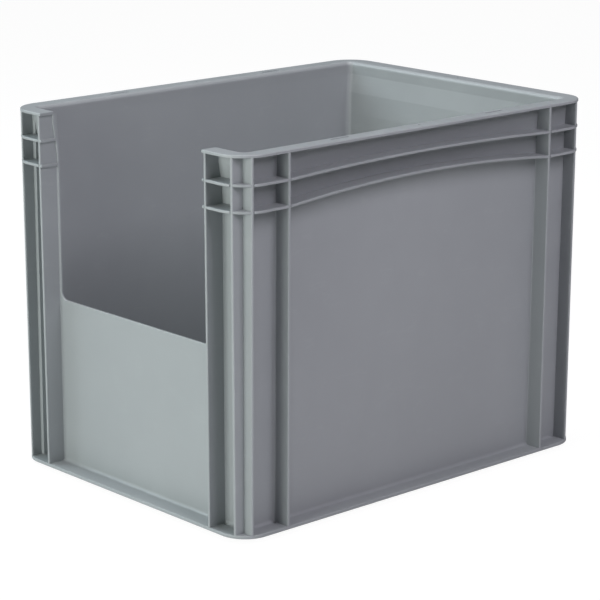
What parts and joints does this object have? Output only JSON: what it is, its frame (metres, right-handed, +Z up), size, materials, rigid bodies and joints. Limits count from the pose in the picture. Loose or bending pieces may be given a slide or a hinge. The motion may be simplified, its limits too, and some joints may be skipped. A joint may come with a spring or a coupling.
{
  "type": "open-front stacking container",
  "caption": "Rigid plastic storage container with a half-height front, a flat rim, side ribs, finned corners and a stacking foot.",
  "frame": {"origin": "centre of the footprint, on the ground under the stacking foot", "axes": "+Z up; the short end with the pick opening faces -Y; the long sides face -X and +X"},
  "size_m": [0.3, 0.4, 0.315],
  "materials": {
    "moulding": "fine satin, grey polypropylene"
  },
  "bodies": {
    "root": {"base_flange_front": "moulding", "base_flange_left": "moulding", "base_flange_rear": "moulding", "base_flange_right": "moulding", "corner_flag_front_left": "moulding", "corner_flag_front_right": "moulding", "corner_flag_rear_left": "moulding", "corner_flag_rear_right": "moulding", "corner_ribs_front_left": "moulding", "corner_ribs_front_right": "moulding", "corner_ribs_rear_left": "moulding", "corner_ribs_rear_right": "moulding", "corner_root_front_left": "moulding", "corner_root_front_right": "moulding", "corner_root_rear_left": "moulding", "corner_root_rear_right": "moulding", "corner_web_front_left": "moulding", "corner_web_front_right": "moulding", "corner_web_rear_left": "moulding", "corner_web_rear_right": "moulding", "end_fin_front_left": "moulding", "end_fin_front_right": "moulding", "end_fin_rear_left": "moulding", "end_fin_rear_right": "moulding", "floor": "moulding", "front_panel": "moulding", "front_post_left": "moulding", "front_post_right": "moulding", "left_wall": "moulding", "lower_rib_left": "moulding", "lower_rib_rear": "moulding", "lower_rib_right": "moulding", "rear_wall": "moulding", "right_wall": "moulding", "rim_front_left": "moulding", "rim_front_right": "moulding", "rim_left": "moulding", "rim_rear": "moulding", "rim_right": "moulding", "side_fin_front_left": "moulding", "side_fin_front_right": "moulding", "side_fin_rear_left": "moulding", "side_fin_rear_right": "moulding", "stacking_foot_front": "moulding", "stacking_foot_left": "moulding", "stacking_foot_rear": "moulding", "stacking_foot_right": "moulding", "upper_rib_left": "moulding", "upper_rib_rear": "moulding", "upper_rib_right": "moulding"}
  },
  "joints": []
}
